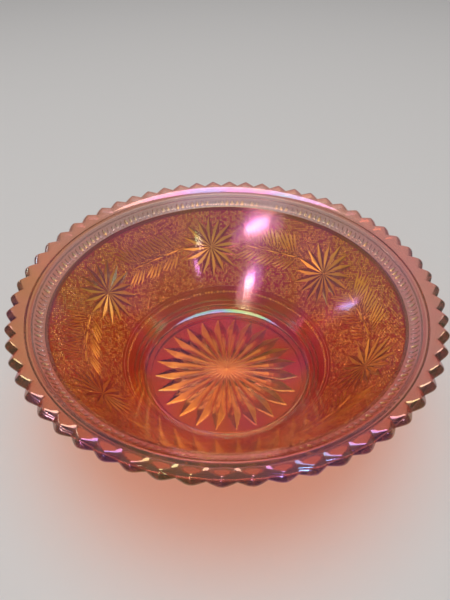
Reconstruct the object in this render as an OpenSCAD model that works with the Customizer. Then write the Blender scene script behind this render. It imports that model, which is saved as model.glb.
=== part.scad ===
// Pressed carnival glass bowl with a saw-tooth rim.
// One pressing, divided along the lines of its mould into closed solids that meet face to face.
// Millimetres, +Z up, origin at the centre of the plane that the foot stands on.

/* [Bowl] */
// Radius of the flat floor inside
floor_r = 46; // [45.5:0.5:46.5]
// Thickness of the base
base_t = 5; // [4.5:0.5:6]
// Thickness of the pattern wall
wall_t = 4; // [3.6:0.1:4.4]
// Slope of the pattern wall from the horizontal, in degrees
wall_slope = 52.35; // [52:0.05:52.7]
// Length of the wall from the heel to the shoulder, measured up the slope
wall_len = 67.6; // [67.2:0.1:68]
// Inside radius where the floor turns up into the wall
heel_r = 6; // [5:0.5:7]

/* [Foot] */
// Height that the foot ring lifts the underside of the base
foot_h = 3; // [2.5:0.5:3.5]
// Outer radius of the foot ring where it stands
foot_out_r = 50; // [49.5:0.1:50.2]
// Inner radius of the foot ring
foot_in_r = 46; // [45.5:0.5:46.5]

/* [Base star] */
// Number of rays cut in the underside of the base
base_rays = 24; // [20:2:28]
// Radius at the tips of the rays
base_star_r = 43.7; // [42:0.1:44]
// Radius where neighbouring rays are widest
base_star_mid_r = 33.5; // [31:0.5:35]
// Depth of the cut
base_star_depth = 1.6; // [1:0.1:2]

/* [Shoulder and rim] */
// Slope of the shoulder from the horizontal, in degrees
shoulder_slope = 44.3; // [44:0.1:45]
// Length of the shoulder up to the flat top of the rim
shoulder_len = 12.6; // [12.4:0.1:12.8]
// Thickness of the shoulder
shoulder_t = 4.6; // [4.5:0.1:4.8]
// Radius of the solid part of the rim, behind the teeth
rim_r = 103.8; // [103.6:0.1:104]
// Thickness of the rim where the teeth start
rim_t = 4.4; // [4.2:0.1:4.6]

/* [Teeth] */
// Number of teeth round the rim
tooth_count = 60; // [56:2:64]
// Azimuth of the first tooth
tooth_start = 5.2; // [5:0.1:5.4]
// Radius at the tips of the teeth, on top
tooth_tip_r = 107.4; // [107.2:0.1:107.6]
// Outward lean of the tooth faces from top to bottom, in degrees
tooth_lean = 51.5; // [49:0.5:54]
// Depth of the notches between the teeth, measured level
tooth_depth = 3.3; // [3:0.1:3.5]
// Height of the tip faces
tooth_h = 2.6; // [2.4:0.1:2.9]
// Half the width of the flat on a tip
tip_half = 0.4; // [0.3:0.1:0.6]

/* [Stars and sprays] */
// Number of stars round the wall, with a leaf spray between each two
star_count = 6; // [5:1:6]
// Azimuth of the first star
star_start = 38; // [0:1:59]
// Rays on each star
star_rays = 16; // [12:2:18]
// Radius of a star
star_r = 19.5; // [17:0.5:20]
// Height of the stars and sprays above the wall
relief = 0.8; // [0.6:0.1:1]
// Distance of the star centres up the slope of the wall
star_up = 41.2; // [40:0.1:42]

/* [Bead rows] */
// Number of beads in each row
bead_count = 180; // [120:12:180]
// Length of a shoulder bead
bead_len = 4.2; // [3.6:0.1:4.4]
// Width of a shoulder bead
bead_w = 2.5; // [2:0.1:2.6]
// Diameter of a bead in the lower row
small_bead_d = 1.7; // [1.4:0.1:1.8]

/* [Hidden] */
$fn = 96;

floor_z = foot_h + base_t;
foot_top_z = foot_h + 1;
arc_steps = 6;

// Directions along the wall and the shoulder, and outwards from them, in (radius, height)
wall_dir = [cos(wall_slope), sin(wall_slope)];
wall_nrm = [sin(wall_slope), -cos(wall_slope)];
shoulder_dir = [cos(shoulder_slope), sin(shoulder_slope)];
shoulder_nrm = [sin(shoulder_slope), -cos(shoulder_slope)];

// Foot of the straight wall and of the shoulder, on the smooth inside surface
wall_start = [floor_r + heel_r * sin(wall_slope), floor_z + heel_r * (1 - cos(wall_slope))];
shoulder_start = wall_start + wall_len * wall_dir;
rim_inner = shoulder_start + shoulder_len * shoulder_dir;
rim_rise = 0.16;
rim_top_z = rim_inner[1] + (rim_r - rim_inner[0]) * rim_rise;
rim_under_z = rim_top_z - rim_t;

// Top and foot of the tip faces
tip_top = [tooth_tip_r, rim_top_z + (tooth_tip_r - rim_r) * rim_rise];
tip_foot = tip_top + tooth_h * [tan(tooth_lean), -1];

// Points up the wall and the shoulder: s along the slope, d outwards from the inside surface
function wall_at(s, d) = wall_start + s * wall_dir + d * wall_nrm;
function shoulder_at(s, d) = shoulder_start + s * shoulder_dir + d * shoulder_nrm;

// Points of the inside curve of the heel, from the wall down to the floor
heel_curve = [for (i = [arc_steps:-1:0])
    let (a = wall_slope * i / arc_steps)
    [floor_r + heel_r * sin(a), floor_z + heel_r * (1 - cos(a))]];

// Boundaries of the zones, measured up the slope of the wall and of the shoulder
lower_beads_up = 10.2;
wall_from = 12.6;
rim_from = 9.1;
upper_beads_up = 3.9;

// ---------- shared shapes ----------

// A ring with the given outline in (radius, height)
module ring(outline) {
    rotate_extrude($fn = 360) polygon(outline);
}

// Stands its children on the outside of the wall, X along the wall's circle and Y up the slope
module on_wall(azimuth, up) {
    p = wall_at(up, wall_t);
    rotate([0, 0, azimuth]) translate([p[0], 0, p[1]])
        rotate([0, 180 - wall_slope, 0]) rotate([0, 0, 90]) children();
}

// Stands its children on the outside of the shoulder in the same way
module on_shoulder(azimuth, up) {
    p = shoulder_at(up, shoulder_t);
    rotate([0, 0, azimuth]) translate([p[0], 0, p[1]])
        rotate([0, 180 - shoulder_slope, 0]) rotate([0, 0, 90]) children();
}

// The thin layer outside the pattern wall that the raised pattern fills
module relief_layer() {
    ring([wall_at(wall_from + 3, wall_t), wall_at(wall_from + 3, wall_t + relief),
          wall_at(wall_len - 2, wall_t + relief), wall_at(wall_len - 2, wall_t)]);
}

// A narrow blade that is widest part of the way along, pointing along +Y
module blade(length, width, widest = 0.6) {
    polygon([[-0.15, 0], [0.15, 0], [width / 2, length * widest],
             [0, length], [-width / 2, length * widest]]);
}

// ---------- base ----------

module foot_ring() {
    color("chocolate") ring([[foot_in_r, 0], [foot_out_r, 0], [foot_out_r + 1, 1],
                             [foot_out_r + 1, foot_top_z], [foot_in_r, foot_top_z]]);
}

// One groove of the base star, a kite in plan with a V section and a narrow land beside it
module star_groove() {
    widest = 0.92 * base_star_mid_r * tan(180 / base_rays);
    blunt_half = 0.1;
    // The section is a little wider than the kite, and carries on below the underside, so that the
    // cut has low side walls and opens right through
    section_half = 1.08 * widest;
    open_below = 1;
    mouth = section_half * (1 + open_below / base_star_depth);
    intersection() {
        linear_extrude(4 * base_star_depth, center = true)
            polygon([[2, -blunt_half], [base_star_mid_r, -widest], [base_star_r, -blunt_half],
                     [base_star_r, blunt_half], [base_star_mid_r, widest], [2, blunt_half]]);
        rotate([0, 90, 0]) linear_extrude(base_star_r + 1)
            polygon([[open_below, -mouth], [open_below, mouth], [-base_star_depth, 0]]);
    }
}

module base_disc() {
    color("orangered") difference() {
        translate([0, 0, foot_h]) cylinder(r = foot_in_r, h = base_t);
        for (i = [0:base_rays - 1])
            rotate([0, 0, (i + 0.5) * 360 / base_rays]) translate([0, 0, foot_h]) star_groove();
    }
}

// ---------- wall ----------

// Heel with two raised lines on the outside
module heel_band() {
    line_h = 0.5;
    outline = concat(
        [[foot_in_r, foot_top_z], [foot_out_r + 1, foot_top_z]],
        [wall_at(0, wall_t), wall_at(0.2, wall_t + line_h),
         wall_at(1.1, wall_t + line_h), wall_at(1.4, wall_t),
         wall_at(3.6, wall_t), wall_at(3.8, wall_t + line_h),
         wall_at(4.6, wall_t + line_h), wall_at(4.9, wall_t),
         wall_at(wall_from, wall_t), wall_at(wall_from, 0)],
        heel_curve);
    color("firebrick") ring(outline);
}

// Small round beads that stand on the heel, above its raised lines
module lower_bead_row() {
    bead_h = 0.8;
    color("tomato")
        for (i = [0:bead_count - 1])
            on_wall(i * 360 / bead_count, lower_beads_up)
                cylinder(d1 = small_bead_d, d2 = small_bead_d * 0.5, h = bead_h, $fn = 24);
}

// Straight wall with a small step at its lower edge
module pattern_wall() {
    color("orangered") ring([wall_at(wall_from, 0), wall_at(wall_from, wall_t + 0.5),
                             wall_at(wall_from + 1.2, wall_t + 0.5), wall_at(wall_from + 1.6, wall_t),
                             wall_at(wall_len, wall_t), wall_at(wall_len, 0)]);
}

// ---------- raised pattern on the wall ----------

module star_outline() {
    circle(r = 2.2);
    for (i = [0:star_rays - 1])
        rotate(i * 360 / star_rays) blade(star_r, 3.4);
}

module star_medallions() {
    color("gold") intersection() {
        relief_layer();
        for (i = [0:star_count - 1])
            on_wall(star_start + i * 360 / star_count, star_up)
                translate([0, 0, -3]) linear_extrude(6) star_outline();
    }
}

// A fan of five blades
module leaf_fan(length) {
    circle(r = 1.1);
    for (a = [-48:24:48])
        rotate(a) blade(length * (1 - abs(a) / 200), 2.2, 0.7);
}

// A stem along the wall with three fans above it and three below
module spray_outline() {
    translate([-15, -0.6]) square([30, 1.2]);
    for (i = [-1:1]) {
        translate([i * 12.5, 0]) rotate(-12) leaf_fan(16.5);
        translate([i * 12.5, 0]) rotate(168) leaf_fan(16.5);
    }
}

module leaf_sprays() {
    color("goldenrod") intersection() {
        relief_layer();
        for (i = [0:star_count - 1])
            on_wall(star_start + (i + 0.5) * 360 / star_count, star_up)
                translate([0, 0, -4]) linear_extrude(8) spray_outline();
    }
}

// ---------- shoulder ----------

// Sloping band that stands a little proud of the wall, with a thin ridge near its top
module shoulder_band() {
    ridge_h = 0.5;
    color("salmon") ring([wall_at(wall_len, 0), wall_at(wall_len, wall_t), shoulder_at(0.3, shoulder_t),
                          shoulder_at(6.8, shoulder_t), shoulder_at(7, shoulder_t + ridge_h),
                          shoulder_at(7.6, shoulder_t + ridge_h), shoulder_at(7.8, shoulder_t),
                          shoulder_at(rim_from, shoulder_t), shoulder_at(rim_from, 0)]);
}

// A tear-shaped bead, round at the bottom and narrow at the top
module tear_outline() {
    half = bead_w / 2;
    polygon([[-half * 0.7, -bead_len / 2 + 0.4], [0, -bead_len / 2], [half * 0.7, -bead_len / 2 + 0.4],
             [half, -bead_len / 2 + half], [half * 0.6, bead_len / 4], [0, bead_len / 2],
             [-half * 0.6, bead_len / 4], [-half, -bead_len / 2 + half]]);
}

module upper_bead_row() {
    bead_h = 0.9;
    color("peachpuff")
        for (i = [0:bead_count - 1])
            on_shoulder(i * 360 / bead_count, upper_beads_up) linear_extrude(bead_h) tear_outline();
}

// ---------- rim ----------

module rim_band() {
    color("coral") ring([shoulder_at(rim_from, 0), rim_inner, [rim_r, rim_top_z], [rim_r, rim_under_z],
                         shoulder_at(rim_from, shoulder_t) + [0.9, 0.2], shoulder_at(rim_from, shoulder_t)]);
}

// What is cut away between two teeth: a V that leans out from the top of the rim to its underside
module tooth_notch() {
    open_half = tooth_tip_r * sin(180 / tooth_count) - tip_half;
    open_depth = (tooth_depth - tooth_tip_r * (1 - cos(180 / tooth_count))) * cos(tooth_lean);
    spread = 2.5;
    translate([tooth_tip_r - tooth_depth, 0, tip_top[1]]) rotate([0, -tooth_lean, 0])
        linear_extrude(22, center = true)
            polygon([[0, 0], spread * [open_depth, -open_half], spread * [open_depth, open_half]]);
}

// A collar that falls away under the rim, with the notches cut into it
module rim_teeth() {
    color("darksalmon") difference() {
        ring([[rim_r, rim_under_z], tip_foot, tip_top, [rim_r, rim_top_z]]);
        for (i = [0:tooth_count - 1])
            rotate([0, 0, tooth_start + (i + 0.5) * 360 / tooth_count]) tooth_notch();
    }
}

foot_ring();
base_disc();
heel_band();
lower_bead_row();
pattern_wall();
star_medallions();
leaf_sprays();
shoulder_band();
upper_bead_row();
rim_band();
rim_teeth();
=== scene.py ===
"""Pressed carnival glass bowl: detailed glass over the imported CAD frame.

The outside carries the pressed pattern as real facets and the inside is smooth, as a mould and a
plunger make them. The bowl's lengths are millimetres here, and its meshes, the stage, the lights
and the camera are in metres.
"""

import math

import bmesh
import bpy
import numpy as np
from mathutils import Matrix, Vector
from mathutils.geometry import delaunay_2d_cdt

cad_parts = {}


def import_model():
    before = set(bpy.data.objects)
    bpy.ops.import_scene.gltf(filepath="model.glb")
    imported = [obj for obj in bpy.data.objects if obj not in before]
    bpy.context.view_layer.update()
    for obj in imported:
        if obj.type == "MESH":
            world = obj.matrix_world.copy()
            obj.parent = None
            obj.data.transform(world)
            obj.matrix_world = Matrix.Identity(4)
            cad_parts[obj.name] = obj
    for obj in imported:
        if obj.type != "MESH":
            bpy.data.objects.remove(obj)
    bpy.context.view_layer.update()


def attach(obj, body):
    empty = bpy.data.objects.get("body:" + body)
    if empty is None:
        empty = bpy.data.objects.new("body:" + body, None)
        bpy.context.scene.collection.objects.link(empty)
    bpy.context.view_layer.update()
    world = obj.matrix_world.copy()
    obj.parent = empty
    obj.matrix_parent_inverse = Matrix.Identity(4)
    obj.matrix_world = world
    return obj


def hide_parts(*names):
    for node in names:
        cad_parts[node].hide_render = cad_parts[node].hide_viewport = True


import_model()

MM = 0.001
SEED = 20

# ---------- the bowl's section, the same numbers as the CAD ----------

FOOT_IN_R, FOOT_OUT_R, FOOT_H, BASE_T = 46.0, 50.0, 3.0, 5.0
FLOOR_R, HEEL_R = 46.0, 6.0
WALL_T, WALL_LEN, WALL_FROM = 4.0, 67.6, 12.6
SHOULDER_T, SHOULDER_LEN, RIM_FROM = 4.6, 12.6, 9.1
RIM_R, RIM_T, RIM_RISE = 103.8, 4.4, 0.16
TIP_R, TOOTH_LEAN, TOOTH_DEPTH, TOOTH_H = 107.4, math.radians(51.5), 3.3, 2.6
WALL_SLOPE, SHOULDER_SLOPE = math.radians(52.35), math.radians(44.3)
FLOOR_Z = FOOT_H + BASE_T
TEETH, TOOTH_START = 60, math.radians(5.2)
STARS, STAR_START, STAR_UP = 6, math.radians(38), 41.2
BEADS = 180


def slope_frame(slope):
    """Direction up a slope and the direction out of the bowl through it, in (radius, height)."""
    return np.array([math.cos(slope), math.sin(slope)]), np.array([math.sin(slope), -math.cos(slope)])


def heel_at(angle):
    """Inside of the curved heel, an angle round from the flat floor."""
    return np.array([FLOOR_R + HEEL_R * math.sin(angle), FLOOR_Z + HEEL_R * (1 - math.cos(angle))])


WALL_DIR, WALL_OUT = slope_frame(WALL_SLOPE)
SHOULDER_DIR, SHOULDER_OUT = slope_frame(SHOULDER_SLOPE)
WALL_START = heel_at(WALL_SLOPE)
SHOULDER_START = WALL_START + WALL_LEN * WALL_DIR
RIM_INNER = SHOULDER_START + SHOULDER_LEN * SHOULDER_DIR
RIM_TOP_Z = RIM_INNER[1] + (RIM_R - RIM_INNER[0]) * RIM_RISE
RIM_UNDER_Z = RIM_TOP_Z - RIM_T
TIP_TOP_Z = RIM_TOP_Z + (TIP_R - RIM_R) * RIM_RISE

# Distance from a joint to the first ring beside it on the smooth inside
SEAM = 0.05


def wall_at(s, d):
    return WALL_START + s * WALL_DIR + d * WALL_OUT


def shoulder_at(s, d):
    return SHOULDER_START + s * SHOULDER_DIR + d * SHOULDER_OUT


# ---------- mesh building ----------


class Solid:
    """Points and faces of one closed piece. Slot 0 is glass, and slot 1 the unseen joint faces."""

    def __init__(self):
        self.points = []
        self.faces = []
        self.slots = []
        self.relief = []
        self.tones = []
        self.count = 0

    def add(self, points, relief=0.0):
        """These values tell the material how far each point stands out of its wall, from 0 to 1, and the
        material paints a glint on the highest; on the beads they are also scaled by a painted glint. They
        are -1 on the smooth inside."""
        points = np.asarray(points, float).reshape(-1, 3)
        start = self.count
        self.points.append(points)
        self.relief.append(np.broadcast_to(relief, len(points)))
        self.count += len(points)
        return start

    def face(self, *corners, slot=0, tone=0.0):
        """tone goes from -1, the dark tint, to 1, the gold tint. It paints light and shade: the lit and
        shaded flanks of the blades and the base rays, a shadow line under the shoulder's step and darker
        ground round the sprays. It also darkens the raised lines and the tooth faces, and gives the base
        star a gold middle.
        """
        self.faces.append(corners)
        self.slots.append(slot)
        self.tones.append(tone)

    def rows(self, rings, slots=None, tones=None, reliefs=None):
        """Joins rings of points, each (n, 3), into a band. slots and tones have one entry per pair of
        rings, and an entry of tones may be an array round the ring. reliefs has one per ring."""
        n = len(rings[0])
        starts = []
        for k, r in enumerate(rings):
            starts.append(self.add(r, reliefs[k] if reliefs else 0.0))
        for k in range(len(starts) - 1):
            a, b = starts[k], starts[k + 1]
            slot = slots[k] if slots else 0
            tone = np.broadcast_to(tones[k] if tones else 0.0, n)
            for i in range(n):
                j = (i + 1) % n
                self.face(a + i, a + j, b + j, b + i, slot=slot, tone=tone[i])
        return starts

    def build(self, name, materials, sharp=40.0):
        mesh = bpy.data.meshes.new(name)
        mesh.from_pydata((np.concatenate(self.points) * MM).tolist(), [], self.faces)
        mesh.polygons.foreach_set("material_index", self.slots)
        for m in materials:
            mesh.materials.append(m)
        relief = mesh.attributes.new("relief", "FLOAT", "POINT")
        relief.data.foreach_set("value", np.concatenate(self.relief).astype(np.float32))
        tone = mesh.attributes.new("tone", "FLOAT", "FACE")
        tone.data.foreach_set("value", np.array(self.tones, np.float32))
        obj = bpy.data.objects.new(name, mesh)
        bpy.context.scene.collection.objects.link(obj)
        tidy(mesh)
        mesh.shade_smooth()
        mesh.set_sharp_from_angle(angle=math.radians(sharp))
        return obj


def tidy(mesh):
    """Welds points that coincide and turns every face outwards."""
    bm = bmesh.new()
    bm.from_mesh(mesh)
    bmesh.ops.remove_doubles(bm, verts=bm.verts, dist=2e-6)
    bmesh.ops.recalc_face_normals(bm, faces=bm.faces)
    bm.to_mesh(mesh)
    bm.free()


def ring(rz, azimuths):
    """Points of one ring. rz is one (radius, height), or one for each azimuth."""
    rz = np.broadcast_to(np.asarray(rz, float), (len(azimuths), 2))
    return np.stack([rz[:, 0] * np.cos(azimuths), rz[:, 0] * np.sin(azimuths), rz[:, 1]], -1)


def around(n, start=0.0):
    return start + np.arange(n) * math.tau / n


# ---------- kites: the blades of the stars and the sprays ----------


# Height of a blade's ridge at its root, as a share of its height where it is widest
ROOT_SHARE = 0.3

STAR_RAYS, STAR_R, SHORT_RAY = 16, 21.5, 0.93
STAR_BLADE = {"width": 4.2, "height": 0.8, "widest": 0.58}

SPRAY_H = 0.75
FEATHERS_AT = (12.0, -1.0, -14.0)
# A feather's flank in painted shade takes FEATHER_TONE and stays a little gold; its lit flank is painted full
# gold.
FEATHER_TONE, FEATHER_WIDEST, FEATHER_ROUNDING = 0.35, 0.62, 0.7
UPPER_FEATHER = {"lean": 0.56, "opening": 0.085, "count": 5, "pitch": 1.9, "length": 15.5, "width": 1.65}
LOWER_FEATHER = {
    "lean": math.pi - 0.82,
    "opening": -0.09,
    "count": 4,
    "pitch": 2.1,
    "length": 13.0,
    "width": 1.6,
}
STEM = {
    "angle": math.pi / 2 + 0.03,
    "length": 14.0,
    "width": 1.3,
    "height": SPRAY_H * 0.7,
    "widest": 0.5,
    "root": 0.4,
}


class Kite:
    """A narrow blade with a ridge along its middle, in a flat pattern plane."""

    def __init__(self, x, y, angle, length, width, height, widest=0.6, root=0.12, shady=-1.0):
        """shady is the tone of the darker flank, painted as the flank in shade; the other flank is painted
        gold, as the lit one.
        """
        along = np.array([math.sin(angle), math.cos(angle)])
        across = np.array([along[1], -along[0]])
        base = np.array([x, y])
        middle = base + along * length * widest
        self.corners = [
            base + across * root,
            middle + across * width / 2,
            base + along * length,
            middle - across * width / 2,
            base - across * root,
        ]
        self.middle = middle
        self.base, self.along, self.across = base, along, across
        self.length, self.half, self.height = length, width / 2, height
        self.widest, self.root, self.shady = widest, root, shady

    def lift(self, p):
        """Height of the blade's two slopes over the points p."""
        rel = p - self.base
        u = rel @ self.along / self.length
        v = np.abs(rel @ self.across)
        half = np.interp(u, [0, self.widest, 1], [self.root, self.half, 1e-6])
        top = np.interp(u, [0, self.widest, 1], [self.height * ROOT_SHARE, self.height, 0.0])
        h = top * (1 - v / half)
        return np.where((u < -1e-6) | (u > 1 + 1e-6), 0.0, np.maximum(h, 0.0))

    def side(self, p):
        """Tone of the flank that each point is over: painted light on one flank and painted shade on the
        other.
        """
        return np.where((p - self.base) @ self.across > 0, 1.0, self.shady)


def star_kites(cx, cy):
    """A star of blades, every second one shorter."""
    kites = []
    for i in range(STAR_RAYS):
        long = STAR_R * (1.0 if i % 2 == 0 else SHORT_RAY)
        kites.append(Kite(cx, cy, i * math.tau / STAR_RAYS, long, **STAR_BLADE))
    return kites


def feather(x, y, lean, opening, count, pitch, length, width):
    """Nearly parallel blades, side by side round x, each turned a little more than the last."""
    kites = []
    for k in range(count):
        off = k - (count - 1) / 2
        long = length - FEATHER_ROUNDING * abs(off)
        turn = lean + opening * off
        kites.append(Kite(x + pitch * off, y, turn, long, width, SPRAY_H, FEATHER_WIDEST, shady=FEATHER_TONE))
    return kites


def spray_kites(cx, cy):
    """A leafy spray: three feathers above its stem and three below, all leaning one way."""
    kites = []
    for x in FEATHERS_AT:
        kites += feather(cx + x, cy + 3.6, **UPPER_FEATHER)
        kites += feather(cx + x - 1.0, cy - 1.6, **LOWER_FEATHER)
        kites.append(Kite(cx + x - 7.0, cy + 1.0, **STEM))
    return kites


# A face lower than this counts as ground, and not as the flank of a blade
LEAST_FLANK = 0.02


def flat_pattern(kites, outline, ground, heights):
    """Triangulates a pattern plane. outline is the loop round it, ground the loose points between
    the blades and heights theirs. Returns points, triangles, each point's height and each
    triangle's tone."""
    points = [tuple(p) for p in outline]
    n = len(points)
    edges = [(i, (i + 1) % n) for i in range(n)]
    for k in kites:
        start = len(points)
        points += [tuple(p) for p in k.corners] + [tuple(k.middle)]
        edges += [(start + i, start + i + 1) for i in range(4)]
        edges += [(start, start + 5), (start + 5, start + 2), (start + 4, start + 5)]
    free = len(points)
    points += [tuple(p) for p in ground]
    verts, _, faces, origin, _, _ = delaunay_2d_cdt([Vector(p) for p in points], edges, [], 0, 1e-5)
    flat = np.array([tuple(v) for v in verts])
    lift = np.zeros(len(flat))
    for k in kites:
        lift = np.maximum(lift, k.lift(flat))
    for i, names in enumerate(origin):
        loose = [j for j in names if j >= free]
        if loose and lift[i] == 0:
            lift[i] = heights[loose[0] - free]
    middles = flat[np.array(faces)].mean(1)
    tone = np.zeros(len(faces))
    best = np.full(len(faces), LEAST_FLANK)
    for k in kites:
        h = k.lift(middles)
        tone = np.where(h > best, k.side(middles), tone)
        best = np.maximum(best, h)
    return flat, faces, lift, tone


# ---------- the pattern wall ----------

WALL_STEPS = 720
SECTOR = math.tau / STARS
PATTERN_FROM, PATTERN_TO = 14.2, 65.4
LINE_WIDTH, LINE_H = 1.2, 0.5

# Points of the stipple: their spacing, the rows' share of it, and how far each strays
GRAIN, ROW_SHARE, STRAY = 0.78, 0.866, 0.1
PEAKS, LOW_GROUND = (0.1, 0.6), (-0.03, 0.03)
# Plain margins of the stipple, along the wall and in azimuth
MARGIN, SIDE_MARGIN = 0.4, 0.002

# The darker ground round a spray: its half width and half height, how far up, and its tone
SHADE_SIZE, SHADE_UP, SHADE_TONE = (24, 8), 3.5, -0.65


def unrolled(s, azimuth, d=WALL_T):
    """Place in the plane of the unrolled cone, measured from its tip."""
    rho = (WALL_START[0] + s * WALL_DIR[0] + d * WALL_OUT[0]) / WALL_DIR[0]
    phi = azimuth * WALL_DIR[0]
    return np.stack([rho * np.sin(phi), rho * np.cos(phi)], -1)


def rolled(flat, lift):
    """The opposite of unrolled: points in space, standing lift out of the wall."""
    rho = np.hypot(flat[:, 0], flat[:, 1])
    azimuth = np.arctan2(flat[:, 0], flat[:, 1]) / WALL_DIR[0]
    s = (rho * WALL_DIR[0] - WALL_START[0] - WALL_T * WALL_OUT[0]) / WALL_DIR[0]
    rz = WALL_START + s[:, None] * WALL_DIR + (WALL_T + lift)[:, None] * WALL_OUT
    return azimuth, rz


def turned(kites, angle):
    """The same blades on the unrolled wall, an angle of azimuth further round."""
    a = angle * WALL_DIR[0]
    turn = np.array([[math.cos(a), -math.sin(a)], [math.sin(a), math.cos(a)]])
    moved = []
    for k in kites:
        x, y = k.base @ turn
        heading = math.atan2(k.along[0], k.along[1]) + a
        moved.append(Kite(x, y, heading, k.length, k.half * 2, k.height, k.widest, k.root, k.shady))
    return moved


def stipple(rng):
    """Grains in a honeycomb over one sixth of the unrolled wall: a peak, and low ground round it."""
    half_angle = SECTOR / 2 * WALL_DIR[0]
    near = np.hypot(*unrolled(PATTERN_FROM, 0.0)) + MARGIN
    far = np.hypot(*unrolled(PATTERN_TO, 0.0)) - MARGIN
    columns = int(far * math.sin(half_angle) / GRAIN) + 1
    i = np.arange(-columns, columns + 1)
    ground, heights = [], []
    for j in range(int((far - near * math.cos(half_angle)) / (GRAIN * ROW_SHARE)) + 1):
        y = near * math.cos(half_angle) + j * GRAIN * ROW_SHARE
        x = (i + 0.5 * (j % 2)) * GRAIN
        is_peak = (i - j // 2 - j) % 3 == 0
        stray = rng.uniform(-STRAY, STRAY, (len(x), 2)) * GRAIN
        ground.append(np.stack([x, np.full(len(x), y)], -1) + stray)
        peaks = rng.uniform(*PEAKS, len(x))
        low = rng.uniform(*LOW_GROUND, len(x))
        heights.append(np.where(is_peak, peaks, low))
    ground, heights = np.concatenate(ground), np.concatenate(heights)
    rho = np.hypot(*ground.T)
    keep = (rho > near) & (rho < far)
    return ground[keep], heights[keep]


def sector_outline():
    """The loop round one sixth of the pattern, on the unrolled wall."""
    half = SECTOR / 2
    across = np.linspace(-half, half, WALL_STEPS // STARS + 1)
    up = np.linspace(PATTERN_FROM, PATTERN_TO, 60)
    bottom = unrolled(PATTERN_FROM, across)
    right = unrolled(up[1:-1], half)
    top = unrolled(PATTERN_TO, across[::-1])
    left = unrolled(up[::-1][1:-1], -half)
    return np.concatenate([bottom, right, top, left])


def shaded_ground(middles, tone):
    """Darkens the ground round the half sprays at the two sides of the sector."""
    for side in (-1, 1):
        centre = unrolled(STAR_UP + SHADE_UP, side * SECTOR / 2)
        lean = side * SECTOR / 2 * WALL_DIR[0]
        across = (middles - centre) @ np.array([math.cos(lean), -math.sin(lean)])
        upward = (middles - centre) @ np.array([math.sin(lean), math.cos(lean)])
        near_spray = np.clip(1.3 - np.hypot(across / SHADE_SIZE[0], upward / SHADE_SIZE[1]), 0, 1)
        tone = np.where(tone == 0, SHADE_TONE * near_spray, tone)
    return tone


def wall_pattern():
    """One sixth of the wall's pressed pattern. Returns each point's azimuth, its (radius, height), the
    triangles with their tones, and each point's height out of the wall."""
    half = SECTOR / 2
    cx, cy = unrolled(STAR_UP, 0.0)
    own = star_kites(cx, cy) + turned(spray_kites(cx, cy - 0.5), half)
    kites = own + turned(own, SECTOR) + turned(own, -SECTOR)
    ground, heights = stipple(np.random.default_rng(SEED))
    turn = np.arctan2(ground[:, 0], ground[:, 1]) / WALL_DIR[0]
    keep = (turn > -half + SIDE_MARGIN) & (turn < half - SIDE_MARGIN)
    for k in kites:
        keep &= k.lift(ground) <= 0
    flat, faces, lift, tone = flat_pattern(kites, sector_outline(), ground[keep], heights[keep])
    azimuth, rz = rolled(flat, lift)
    middles = flat[np.array(faces)].mean(1)
    tone = shaded_ground(middles, tone)
    inner = np.hypot(*unrolled(PATTERN_FROM, 0.0))
    outer = np.hypot(*unrolled(PATTERN_TO, 0.0))
    rho = np.hypot(middles[:, 0], middles[:, 1])
    turn = np.arctan2(middles[:, 0], middles[:, 1]) / WALL_DIR[0]
    inside = (rho > inner) & (rho < outer) & (turn > -half) & (turn < half)
    good = [(f, t) for f, t, keep_it in zip(faces, tone, inside) if keep_it]
    return azimuth, rz, good, lift


def pattern_wall(materials):
    """The wall between heel and shoulder, smooth inside and pressed outside."""
    solid = Solid()
    azimuths = around(WALL_STEPS, STAR_START - SECTOR / 2)
    inside = [wall_at(s, 0) for s in (WALL_LEN, WALL_LEN - SEAM, WALL_FROM + SEAM, WALL_FROM)]
    lower = [wall_at(s, WALL_T + LINE_H) for s in (WALL_FROM, WALL_FROM + LINE_WIDTH)]
    lower.append(wall_at(PATTERN_FROM, WALL_T))
    upper = [wall_at(PATTERN_TO, WALL_T), wall_at(WALL_LEN, WALL_T), inside[0]]
    lower_slots = [0, 0, 0, 1, 0, 0]
    solid.rows([ring(p, azimuths) for p in inside + lower], lower_slots, reliefs=[-1.0] * 4 + [0.0] * 3)
    # The plain band above the pattern goes to the dark tint: a painted shadow line under the step out to the
    # thicker shoulder.
    solid.rows([ring(p, azimuths) for p in upper], [0, 1], [-1.0, 0], [0.0, 0.0, -1.0])
    azimuth, rz, faces, lift = wall_pattern()
    for k in range(STARS):
        a = azimuth + STAR_START + k * SECTOR
        points = np.stack([rz[:, 0] * np.cos(a), rz[:, 0] * np.sin(a), rz[:, 1]], -1)
        start = solid.add(points, lift / STAR_BLADE["height"])
        for f, tone in faces:
            solid.face(*[start + i for i in f], tone=tone)
    return solid.build("pattern_wall_glass", materials, sharp=28)


# ---------- base, heel and foot ----------


BASE_RAYS, RAY_TIP_R, RAY_WIDE_R, RAY_DEPTH = 24, 43.7, 33.5, 1.6
# Depth of the star's middle as a share of its full depth, and the rays' share of the room they have
HUB_SHARE, RAY_SHARE = 0.15, 0.92
BASE_RADII = (1.5, 3, 6, 10, 14, 18, 22, 26, 29, 31, 32.5, 33.5, 34.5, 36, 37.5, 39, 40.5, 42, 43.2, 43.9, 45)
HUB_TONE = 0.75
# A radius past the whole base, where the lists of radii below end
FAR = 99


def ray_half_width(r):
    """Half the width of a base ray at radius r."""
    widest = RAY_SHARE * RAY_WIDE_R * math.tan(math.pi / BASE_RAYS)
    return np.interp(r, [0, 2, RAY_WIDE_R, RAY_TIP_R, FAR], [0, 0.02, widest, 0, 0])


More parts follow.
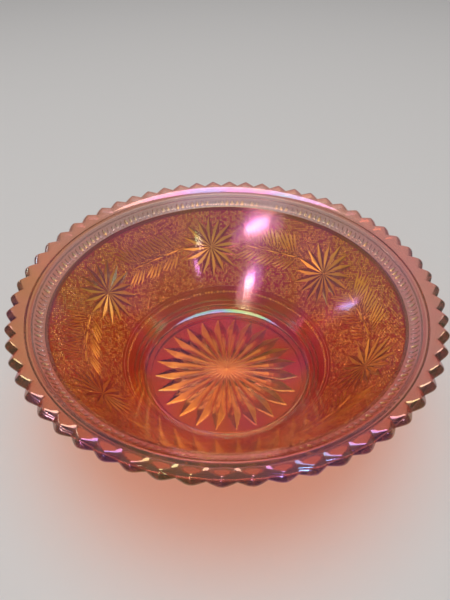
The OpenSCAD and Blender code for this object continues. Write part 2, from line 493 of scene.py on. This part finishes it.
def ray_tones(across, r):
    """Tones round the base at radius r. across runs from -1 to 1 over each ray. Further in, the rays are
    soft pleats, painted gold across them as a sheen and dark at their edges as shade; towards their
    points they have a painted lit gold flank and a painted shaded dark flank."""
    t = np.abs(across) * r * (math.pi / BASE_RAYS) / max(ray_half_width(r), 1e-6)
    pleat_sheen_and_shade = np.interp(t, [0, 0.35, 0.75, 1], [0.5, 0.85, 0.3, -0.75])
    point = np.interp(r, [25, 34], [0, 1])
    hub = np.interp(r, [4, 14], [1, 0])
    tone = pleat_sheen_and_shade * (1 - point) + np.where(across > 0, 1.0, -0.9) * point
    return np.where(t < 1, tone, 0) * (1 - hub) + HUB_TONE * hub


def base(materials):
    """Flat floor with a rayed star pressed into its underside."""
    solid = Solid()
    n = BASE_RAYS * 24
    azimuths = around(n)
    half = math.pi / BASE_RAYS
    phase = np.abs((azimuths / (2 * half)) % 1 - 0.5) * 2 * half
    rings = []
    for r in BASE_RADII:
        deep = RAY_DEPTH * np.interp(r, [0, RAY_WIDE_R, RAY_TIP_R, FAR], [HUB_SHARE, 1, 0, 0])
        cut = deep * np.clip(1 - r * np.abs(phase) / max(ray_half_width(r), 1e-6), 0, 1)
        rings.append(ring(np.stack([np.full(n, r), FOOT_H + cut], -1), azimuths))
    edge = [(FOOT_IN_R, FOOT_H), (FOOT_IN_R, FOOT_H + 1), (FOOT_IN_R, FLOOR_Z)]
    top = [(FLOOR_R - SEAM, FLOOR_Z), (20, FLOOR_Z), (BASE_RADII[0], FLOOR_Z)]
    slots = [0] * len(rings) + [1, 1, 0, 0, 0]
    reliefs = [0.0] * (len(rings) + 2) + [-1.0] * 4
    starts = solid.rows(rings + [ring(p, azimuths) for p in edge + top], slots, reliefs=reliefs)
    across = (((azimuths + math.pi / n) / (2 * half)) % 1 - 0.5) * 2
    for k in range(len(BASE_RADII) - 1):
        solid.tones[k * n : (k + 1) * n] = ray_tones(across, (BASE_RADII[k] + BASE_RADII[k + 1]) / 2)
    under = solid.add([(0, 0, FOOT_H + RAY_DEPTH * HUB_SHARE)])
    over = solid.add([(0, 0, FLOOR_Z)], -1.0)
    for i in range(n):
        j = (i + 1) % n
        solid.face(under, starts[0] + j, starts[0] + i, tone=HUB_TONE)
        solid.face(over, starts[-1] + i, starts[-1] + j)
    return solid.build("base_glass", materials, sharp=25)


# Rounded beads: place up the slope, half width, half length and height
SMALL_BEAD = {"centre": 10.2, "half_w": 0.72, "half_l": 0.85, "height": 0.75}
TEAR_BEAD = {"centre": 3.7, "half_w": 1.25, "half_l": 2.15, "height": 0.9}
SMALL_GLINT, TEAR_GLINT = 0.6, 0.42

# Raised lines: place up the slope and height of each ring
HEEL_LINES = (
    (4.9, 0), (4.6, 0.42), (4.3, 0.5), (4.0, 0.42), (3.6, 0),
    (1.4, 0), (1.1, 0.42), (0.65, 0.5), (0.2, 0.42), (0, 0),
)
SHOULDER_LINE = ((6.8, 0), (7.0, 0.4), (7.3, 0.5), (7.6, 0.4), (7.8, 0))

# Section of the foot ring, from its outside round to the joint with the base
FOOT_SECTION = (
    (FOOT_OUT_R + 1, FOOT_H + 1),
    (FOOT_OUT_R + 1, 1.2),
    (FOOT_OUT_R + 0.6, 0.4),
    (FOOT_OUT_R, 0.05),
    (FOOT_OUT_R - 0.6, 0),
    (FOOT_IN_R + 0.6, 0),
    (FOOT_IN_R + 0.1, 0.3),
    (FOOT_IN_R, 0.8),
    (FOOT_IN_R, FOOT_H),
)


def bead_bump(azimuths, s, radius, centre, half_w, half_l, height):
    """Height of a row of rounded beads at slope length s. They narrow towards the top."""
    pitch = math.tau / BEADS
    v = (((azimuths / pitch) + 0.5) % 1 - 0.5) * pitch * radius
    u = (s - centre) / half_l
    narrow = half_w * np.clip(1 - 0.38 * max(u, 0), 0.3, 1)
    d2 = (v / narrow) ** 2 + u**2
    return height * np.sqrt(np.clip(1 - d2, 0, 1))


def bead_strength(azimuths, seed):
    """How strongly each bead is painted with a glint, as seen from each azimuth: they catch the light
    unevenly.
    """
    strengths = np.random.default_rng(seed).uniform(0.15, 1.0, BEADS)
    return strengths[np.round(azimuths * BEADS / math.tau).astype(int) % BEADS]


def heel(materials):
    """Foot ring, heel with its raised lines, and the row of small beads above them."""
    solid = Solid()
    n = BEADS * 8
    azimuths = around(n)
    strength = bead_strength(azimuths, SEED + 1)
    section = [((FOOT_IN_R, FLOOR_Z), 0), ((FLOOR_R + SEAM, FLOOR_Z), 0)]
    for i in range(1, 17):
        section.append((heel_at(WALL_SLOPE * i / 16), 0))
    section += [(wall_at(WALL_FROM - SEAM, 0), 0), (wall_at(WALL_FROM, 0), 1)]
    section.append((wall_at(WALL_FROM, WALL_T), 0))
    rings = [ring(p, azimuths) for p, _ in section]
    slots = [s for _, s in section]
    reliefs = [-1.0] * (len(rings) - 1) + [0.0]
    for s in np.linspace(WALL_FROM - 1.2, 9.0, 10):
        radius = wall_at(s, WALL_T)[0]
        bump = bead_bump(azimuths, s, radius, **SMALL_BEAD)
        rings.append(ring(np.stack([wall_at(s, x) for x in WALL_T + bump]), azimuths))
        slots.append(0)
        reliefs.append(bump / SMALL_BEAD["height"] * strength * SMALL_GLINT)
    tones = [0.0] * len(rings)
    for s, d in HEEL_LINES:
        rings.append(ring(wall_at(s, WALL_T + d), azimuths))
        slots.append(0)
        reliefs.append(0.0)
        tones.append(-1.0 if d else 0.0)
    for p in FOOT_SECTION:
        rings.append(ring(p, azimuths))
        slots.append(0)
        reliefs.append(0.0)
        tones.append(0.0)
    slots[-1] = 1
    rings.append(rings[0])
    reliefs.append(-1.0)
    solid.rows(rings, slots, tones, reliefs)
    return solid.build("heel_and_foot_glass", materials, sharp=32)


# ---------- shoulder and rim ----------


def shoulder(materials):
    """Sloping band with tear-shaped beads and a thin ridge on its outside."""
    solid = Solid()
    n = BEADS * 12
    azimuths = around(n)
    strength = bead_strength(azimuths, SEED + 2)
    section = [
        (shoulder_at(RIM_FROM, 0), 0),
        (shoulder_at(RIM_FROM - SEAM, 0), 0),
        (shoulder_at(SEAM, 0), 0),
        (wall_at(WALL_LEN, 0), 1),
        (wall_at(WALL_LEN, WALL_T), 0),
    ]
    rings = [ring(p, azimuths) for p, _ in section]
    slots = [s for _, s in section]
    rings.append(ring(shoulder_at(0.3, SHOULDER_T), azimuths))
    slots.append(0)
    reliefs = [-1.0] * 4 + [0.0] * 2
    for s in np.linspace(1.5, 6.3, 15):
        radius = shoulder_at(s, SHOULDER_T)[0]
        bump = bead_bump(azimuths, s, radius, **TEAR_BEAD)
        rings.append(ring(np.stack([shoulder_at(s, x) for x in SHOULDER_T + bump]), azimuths))
        slots.append(0)
        reliefs.append(TEAR_GLINT * bump / TEAR_BEAD["height"] * strength)
    tones = [0.0] * len(rings)
    for s, d in SHOULDER_LINE:
        rings.append(ring(shoulder_at(s, SHOULDER_T + d), azimuths))
        slots.append(0)
        reliefs.append(0.0)
        tones.append(-0.8 if d else 0.0)
    rings.append(ring(shoulder_at(RIM_FROM, SHOULDER_T), azimuths))
    slots.append(1)
    rings.append(rings[0])
    solid.rows(rings, slots, tones + [0.0], reliefs + [0.0, -1.0])
    return solid.build("shoulder_glass", materials, sharp=35)


# The rounding of the teeth, as a share of each flank, along the top and along the underside
CRISP, SOFT = 0.06, 0.45
# How far the top of a tooth stands above the rim's slope at its tip, and its fall to the valleys
TIP_LIFT, TOP_FALL = 0.5, 1.15
FACE_BULGE = 0.3
# Rounding of the rim's inner edge, along the rim and down the shoulder
ROUNDING, ROUNDING_BELOW = 2.4, 3.2
TOOTH_STEPS = 20


def tooth_reach(azimuths, blunt):
    """How far each azimuth's tooth stands out, from 0 in a valley to 1 at a tip. blunt is the share
    of each flank that the rounding of the tip takes."""
    pitch = math.tau / TEETH
    u = np.abs(((azimuths - TOOTH_START) / pitch + 0.5) % 1 - 0.5) * 2
    return 1 - np.where(u < blunt, u * u / (2 * blunt), u - blunt / 2) / (1 - blunt / 2)


def rim(materials):
    """Flat-topped rim with saw teeth whose outer faces lean out towards the bottom."""
    solid = Solid()
    fine = np.linspace(-0.5, 0.5, TOOTH_STEPS, endpoint=False)
    pitch = math.tau / TEETH
    azimuths = np.concatenate([TOOTH_START + (k + fine) * pitch for k in range(TEETH)])
    lean = math.tan(TOOTH_LEAN)

    def on_top(r):
        return np.stack([r, RIM_TOP_Z + (r - RIM_R) * RIM_RISE], -1)

    # The tooth faces run parallel to the tips' line, and end on the top and on the sloping underside
    crisp = TOOTH_DEPTH * (1 - tooth_reach(azimuths, CRISP))
    soft = TOOTH_DEPTH * (1 - tooth_reach(azimuths, SOFT))
    top_edge = on_top(TIP_R - crisp / (1 + RIM_RISE * lean))
    top_edge[:, 1] += TIP_LIFT - TOP_FALL * crisp / TOOTH_DEPTH
    foot_r = TIP_R + TOOTH_H * lean
    under_rise = (TIP_TOP_Z - TOOTH_H - RIM_UNDER_Z) / (foot_r - RIM_R)

    def on_underside(r):
        return np.stack([r, RIM_UNDER_Z + (r - RIM_R) * under_rise], -1)

    low_r = TIP_R - soft + (TIP_TOP_Z - RIM_UNDER_Z + under_rise * RIM_R) * lean
    low_edge = on_underside(low_r / (1 + under_rise * lean))

    def face(t):
        """Points on the tooth faces, t of the way down. They bulge a little."""
        outwards = np.array([math.cos(TOOTH_LEAN), math.sin(TOOTH_LEAN)])
        bulge = FACE_BULGE * math.sin(math.pi * t) * outwards
        return top_edge * (1 - t) + low_edge * t + bulge

    def bend(first, corner, last, steps):
        """Rings round a corner of the section, as a smooth curve."""
        curve = []
        for t in np.linspace(0, 1, steps):
            curve.append(ring(first * (1 - t) ** 2 + 2 * corner * t * (1 - t) + last * t * t, azimuths))
        return curve

    under = shoulder_at(RIM_FROM, SHOULDER_T)
    below = np.array([RIM_R - 1.2, RIM_UNDER_Z])
    flat_from = RIM_INNER[0] + ROUNDING
    flat_to = on_top(np.full(len(azimuths), RIM_R - 0.1))
    before_edge = flat_to + (top_edge - flat_to) * 0.8
    rings = [ring(shoulder_at(s, 0), azimuths) for s in (RIM_FROM, RIM_FROM + SEAM)]
    bend_to = RIM_INNER + ROUNDING * np.array([1, RIM_RISE])
    rings += bend(shoulder_at(SHOULDER_LEN - ROUNDING_BELOW, 0), RIM_INNER, bend_to, 9)
    rings += [ring(on_top(np.full(len(azimuths), flat_from + SEAM)), azimuths), ring(flat_to, azimuths)]
    tones = [0.0] * (len(rings) - 1)
    rings += bend(before_edge, top_edge, face(0.1), 4)
    tones += [0.0, 0.0, -0.3, -0.6]
    for t in (0.25, 0.45, 0.65):
        rings.append(ring(face(t), azimuths))
        tones.append(-0.9)
    rings += bend(face(0.74), low_edge, on_underside(low_edge[:, 0] - 1.7), 6)
    tones += [-0.9, -0.7, -0.5, -0.3, -0.1, 0.0]
    rings += bend(below, under + np.array([0.9, 0.2]), under, 7)
    tones += [0.0] * 7
    slots = [0] * (len(rings) - 1) + [1]
    rings.append(rings[0])
    tones.append(0.0)
    solid.rows(rings, slots, tones)
    return solid.build("rim_glass", materials, sharp=30)


# ---------- materials ----------


def new_material(name):
    m = bpy.data.materials.new(name)
    m.use_nodes = True
    m.node_tree.nodes.clear()
    return m, m.node_tree.nodes, m.node_tree.links


def noise(nodes, links, where, scale, detail=3.0):
    n = nodes.new("ShaderNodeTexNoise")
    n.inputs["Scale"].default_value = scale
    n.inputs["Detail"].default_value = detail
    links.new(where, n.inputs["Vector"])
    return n.outputs["Fac"]


def ramp(nodes, links, value, stops):
    r = nodes.new("ShaderNodeValToRGB")
    e = r.color_ramp.elements
    while len(e) < len(stops):
        e.new(0.5)
    for point, (at, colour) in zip(e, stops):
        point.position = at
        point.color = (*colour, 1)
    links.new(value, r.inputs["Fac"])
    return r.outputs["Color"]


def blend(nodes, links, share, first, second):
    """One colour going to another as share goes from 0 to 1."""
    n = nodes.new("ShaderNodeMix")
    n.data_type = "RGBA"
    n.inputs[0].default_value = 0.5
    for value, socket in ((share, n.inputs[0]), (first, n.inputs[6]), (second, n.inputs[7])):
        if isinstance(value, tuple):
            socket.default_value = (*value, 1)
        else:
            links.new(value, socket)
    return n.outputs[2]


def spread(nodes, links, value, low, high, to_low=0.0, to_high=1.0):
    n = nodes.new("ShaderNodeMapRange")
    n.inputs["From Min"].default_value = low
    n.inputs["From Max"].default_value = high
    n.inputs["To Min"].default_value = to_low
    n.inputs["To Max"].default_value = to_high
    links.new(value, n.inputs["Value"])
    return n.outputs[0]


def maths(nodes, links, operation, first, second):
    n = nodes.new("ShaderNodeMath")
    n.operation = operation
    n.use_clamp = True
    for value, socket in ((first, n.inputs[0]), (second, n.inputs[1])):
        if isinstance(value, (int, float)):
            socket.default_value = value
        else:
            links.new(value, socket)
    return n.outputs[0]


def attribute(nodes, name):
    n = nodes.new("ShaderNodeAttribute")
    n.attribute_name = name
    return n.outputs["Fac"]


def glass(name, left, right, back, inner, gold, dark, shadow, film, lustre, share, rough):
    """Tinted glass under a metallic lustre film.

    The tint goes from left to right across the bowl and to another at the back, which is partly a
    painted reflection, and the smooth inside has the paler inner tint. Faces go to the gold or the dark
    tint by their tone, which paints lit and shaded flanks, and the ground's grains are painted gold at
    their peaks as glints. shadow colours the light that passes to the floor.
    film is the thin film's least and greatest thickness in nanometres, lustre the colours of its
    sheen, and share how much of the surface the sheen covers, face on and at a glance.
    """
    m, nodes, links = new_material(name)
    coord = nodes.new("ShaderNodeTexCoord").outputs["Object"]
    split = nodes.new("ShaderNodeSeparateXYZ")
    links.new(coord, split.inputs[0])
    cloud = noise(nodes, links, coord, 24)
    drift = maths(nodes, links, "MULTIPLY", cloud, 0.5)
    sideways = spread(nodes, links, split.outputs["X"], -0.12, 0.12, -0.2, 0.75)
    place = maths(nodes, links, "ADD", sideways, drift)
    tint = blend(nodes, links, spread(nodes, links, place, 0.15, 0.85), left, right)
    # Towards the back the tint goes to the back one. This is partly the glass's colour and partly a painted
    # reflection: its greyer and more violet tones stand in for the pale light and sheen that the back wall
    # and rim reflect.
    back_tint_and_reflection = spread(nodes, links, split.outputs["Y"], 0.015, 0.085, 0.0, 0.75)
    tint = blend(nodes, links, back_tint_and_reflection, tint, back)
    relief, tone = attribute(nodes, "relief"), attribute(nodes, "tone")
    ground = nodes.new("ShaderNodeMath")
    ground.operation = "COMPARE"
    ground.inputs[1].default_value = -0.35
    ground.inputs[2].default_value = 0.4
    links.new(tone, ground.inputs[0])
    # Painted glints: the peaks of the ground's grains and the brighter beads go to the gold tint, and so do
    # faces with a positive tone, which are the painted lit flanks and the gold middle of the base star.
    painted_grain_glint = maths(nodes, links, "MULTIPLY", spread(nodes, links, relief, 0.16, 0.28), ground.outputs[0])
    gold_and_painted_light = maths(nodes, links, "MAXIMUM", painted_grain_glint, tone)
    # Negative tones go to the dark tint: painted shade on the shaded flanks, on the ground round the sprays
    # and at the shadow line under the shoulder's step, and darker raised lines and tooth faces.
    shade = maths(nodes, links, "MULTIPLY", tone, -1.0)
    tint = blend(nodes, links, maths(nodes, links, "MULTIPLY", shade, 0.85), tint, dark)
    tint = blend(nodes, links, maths(nodes, links, "MULTIPLY", gold_and_painted_light, 0.9), tint, gold)
    tint = blend(nodes, links, maths(nodes, links, "LESS_THAN", relief, -0.5), tint, inner)

    body = nodes.new("ShaderNodeBsdfPrincipled")
    body.inputs["Transmission Weight"].default_value = 1.0
    body.inputs["Roughness"].default_value = rough
    body.inputs["IOR"].default_value = 1.52
    body.inputs["Thin Film IOR"].default_value = 1.9
    links.new(tint, body.inputs["Base Color"])
    patches = noise(nodes, links, coord, 14, 2)
    links.new(spread(nodes, links, patches, 0.3, 0.7, *film), body.inputs["Thin Film Thickness"])

    sheen = nodes.new("ShaderNodeBsdfGlossy")
    links.new(spread(nodes, links, gold_and_painted_light, 0, 1, 0.2, 0.42), sheen.inputs["Roughness"])
    sheen_colour = ramp(nodes, links, noise(nodes, links, coord, 19, 2), lustre)
    sheen_colour = blend(nodes, links, gold_and_painted_light, sheen_colour, (1.0, 0.66, 0.18))
    links.new(sheen_colour, sheen.inputs["Color"])
    facing = nodes.new("ShaderNodeLayerWeight")
    facing.inputs["Blend"].default_value = 0.35
    film_share = spread(nodes, links, facing.outputs["Facing"], 0, 1, *share)
    film_share = maths(nodes, links, "ADD", film_share, maths(nodes, links, "MULTIPLY", gold_and_painted_light, 0.45))
    cover = nodes.new("ShaderNodeMixShader")
    links.new(film_share, cover.inputs[0])
    links.new(body.outputs[0], cover.inputs[1])
    links.new(sheen.outputs[0], cover.inputs[2])

    clear = nodes.new("ShaderNodeBsdfTransparent")
    clear.inputs["Color"].default_value = (*shadow, 1)
    path = nodes.new("ShaderNodeLightPath")
    mix = nodes.new("ShaderNodeMixShader")
    links.new(path.outputs["Is Shadow Ray"], mix.inputs[0])
    links.new(cover.outputs[0], mix.inputs[1])
    links.new(clear.outputs[0], mix.inputs[2])
    out = nodes.new("ShaderNodeOutputMaterial")
    links.new(mix.outputs[0], out.inputs["Surface"])
    return m


def joint_material():
    """Faces where two zones of the one pressing meet. Nothing shows there."""
    m, nodes, links = new_material("joint_faces")
    clear = nodes.new("ShaderNodeBsdfTransparent")
    out = nodes.new("ShaderNodeOutputMaterial")
    links.new(clear.outputs[0], out.inputs["Surface"])
    return m


def floor_material():
    m, nodes, links = new_material("pale_floor")
    p = nodes.new("ShaderNodeBsdfPrincipled")
    p.inputs["Base Color"].default_value = (0.72, 0.69, 0.66, 1)
    p.inputs["Roughness"].default_value = 0.7
    out = nodes.new("ShaderNodeOutputMaterial")
    links.new(p.outputs[0], out.inputs["Surface"])
    return m


# ---------- build ----------

joint = joint_material()
GOLD_TO_VIOLET = (
    (0.25, (1.0, 0.72, 0.30)),
    (0.45, (1.0, 0.45, 0.42)),
    (0.6, (0.95, 0.40, 0.75)),
    (0.8, (0.62, 0.50, 1.0)),
)
ROSE_TO_BLUE = ((0.3, (1.0, 0.75, 0.55)), (0.5, (1.0, 0.60, 0.62)), (0.75, (0.75, 0.70, 1.0)))
GOLD_FOR_PAINTED_LIGHT, DARK_AND_PAINTED_SHADE = (1.0, 0.56, 0.05), (0.06, 0.008, 0.008)
THICK_FILM, THIN_FILM = (230, 420), (180, 340)
RED_SHADOW = (0.84, 0.50, 0.34)

lustre = glass(
    "lustre_glass",
    left=(0.32, 0.010, 0.0005),
    right=(0.28, 0.004, 0.010),
    back=(0.21, 0.006, 0.050),
    inner=(0.90, 0.46, 0.18),
    gold=GOLD_FOR_PAINTED_LIGHT,
    dark=DARK_AND_PAINTED_SHADE,
    shadow=RED_SHADOW,
    film=THICK_FILM,
    lustre=GOLD_TO_VIOLET,
    share=(0.02, 0.22),
    rough=0.1,
)
shoulder_glass = glass(
    "shoulder_glass",
    left=(0.80, 0.15, 0.08),
    right=(0.76, 0.16, 0.16),
    back=(0.42, 0.28, 0.25),
    inner=(0.95, 0.74, 0.62),
    gold=(1.0, 0.9, 0.66),
    dark=DARK_AND_PAINTED_SHADE,
    shadow=(0.92, 0.70, 0.62),
    film=THIN_FILM,
    lustre=ROSE_TO_BLUE,
    share=(0.08, 0.36),
    rough=0.1,
)
rim_glass = glass(
    "rim_glass",
    left=(0.95, 0.36, 0.16),
    right=(0.93, 0.38, 0.30),
    back=(0.70, 0.34, 0.28),
    inner=(0.95, 0.78, 0.68),
    gold=GOLD_FOR_PAINTED_LIGHT,
    dark=(0.34, 0.05, 0.025),
    shadow=(0.90, 0.62, 0.50),
    film=THIN_FILM,
    lustre=ROSE_TO_BLUE,
    share=(0.05, 0.32),
    rough=0.07,
)
base_glass = glass(
    "base_glass",
    left=(0.38, 0.012, 0.002),
    right=(0.34, 0.008, 0.006),
    back=(0.25, 0.010, 0.04),
    inner=(0.93, 0.50, 0.22),
    gold=(0.78, 0.48, 0.10),
    dark=(0.07, 0.03, 0.04),
    shadow=RED_SHADOW,
    film=THICK_FILM,
    lustre=GOLD_TO_VIOLET,
    share=(0.02, 0.2),
    rough=0.08,
)

PIECES = (
    (base, base_glass, "lustre_glass", ("base_disc",)),
    (heel, lustre, "lustre_glass", ("foot_ring", "heel_band", "lower_bead_row")),
    (pattern_wall, lustre, "lustre_glass", ("pattern_wall", "star_medallions", "leaf_sprays")),
    (shoulder, shoulder_glass, "rim_glass", ("shoulder_band", "upper_bead_row")),
    (rim, rim_glass, "rim_glass", ("rim_band", "rim_teeth")),
)
for make, material, slot_name, nodes_replaced in PIECES:
    piece = make([material, joint])
    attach(piece, "root")
    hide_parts(*nodes_replaced)

# ---------- stage, light and camera ----------


def floor():
    mesh = bpy.data.meshes.new("floor")
    h, z = 3.0, -0.0002
    mesh.from_pydata([(-h, -h, z), (h, -h, z), (h, h, z), (-h, h, z)], [], [(0, 1, 2, 3)])
    mesh.materials.append(floor_material())
    obj = bpy.data.objects.new("floor", mesh)
    bpy.context.scene.collection.objects.link(obj)


def aimed(position, target):
    return (Vector(target) - Vector(position)).to_track_quat("-Z", "Y").to_matrix().to_4x4()


def softbox(name, position, size, power, colour=(1, 1, 1), target=(0, 0, 0.05)):
    data = bpy.data.lights.new(name, "AREA")
    data.shape = "ELLIPSE"
    data.size, data.size_y = size
    data.energy = power
    data.color = colour
    obj = bpy.data.objects.new(name, data)
    obj.matrix_world = Matrix.Translation(position) @ aimed(position, target)
    bpy.context.scene.collection.objects.link(obj)


def world():
    w = bpy.data.worlds.new("studio")
    w.use_nodes = True
    bpy.context.scene.world = w
    w.node_tree.nodes["Background"].inputs["Color"].default_value = (0.85, 0.88, 0.95, 1)
    w.node_tree.nodes["Background"].inputs["Strength"].default_value = 0.22


def camera():
    """Looks down into the bowl from the front, with fitted numbers."""
    data = bpy.data.cameras.new("camera")
    data.lens = 29.1
    data.sensor_width = 36
    obj = bpy.data.objects.new("camera", data)
    bpy.context.scene.collection.objects.link(obj)
    rim_centre = Vector((0, 0, 0.0735))
    elevation, distance = 0.6959, 0.25204
    place = rim_centre + distance * Vector((0, -math.cos(elevation), math.sin(elevation)))
    look = aimed(place, rim_centre)
    pan, tilt, roll = 0.0037, -0.0349, 0.0035
    turn = Matrix.Rotation(pan, 4, "Y") @ Matrix.Rotation(tilt, 4, "X") @ Matrix.Rotation(roll, 4, "Z")
    obj.matrix_world = Matrix.Translation(place) @ look @ turn
    bpy.context.scene.camera = obj


floor()
world()
# Soft light from above, and small lights that show as the glints of windows in the glass
softbox("sky", (0, 0.1, 2.2), (1.8, 1.8), 30.0)
softbox("over", (0, -0.42, 1.05), (1.2, 0.3), 0.3, (0.86, 0.96, 0.88))
softbox("window_high", (-0.286, -0.60, 0.715), (0.24, 0.014), 0.22)
softbox("glow_high", (-0.286, -0.605, 0.708), (0.55, 0.03), 0.08, (1.0, 0.8, 1.0))
softbox("blue_high", (-0.286, -0.59, 0.728), (0.5, 0.016), 0.05, (0.4, 0.66, 1.0))
softbox("window_low", (-0.326, -0.685, 0.594), (0.14, 0.02), 0.19)
softbox("glow_low", (-0.326, -0.69, 0.586), (0.4, 0.05), 0.08, (1.0, 0.8, 1.0))
softbox("blue_low", (-0.326, -0.675, 0.612), (0.3, 0.02), 0.04, (0.4, 0.66, 1.0))
softbox("glint_high", (0.301, -0.624, 0.681), (0.06, 0.008), 0.025, (0.7, 1.0, 0.95))
softbox("glint_low", (0.377, -0.635, 0.623), (0.05, 0.01), 0.03, (0.6, 0.8, 1.0))
softbox("side_window", (-0.83, 0.38, 0.27), (0.26, 0.04), 0.15)
camera()

scene = bpy.context.scene
scene.view_settings.view_transform = "Standard"
scene.cycles.transparent_max_bounces = 32
scene.cycles.transmission_bounces = 14
scene.cycles.max_bounces = 18
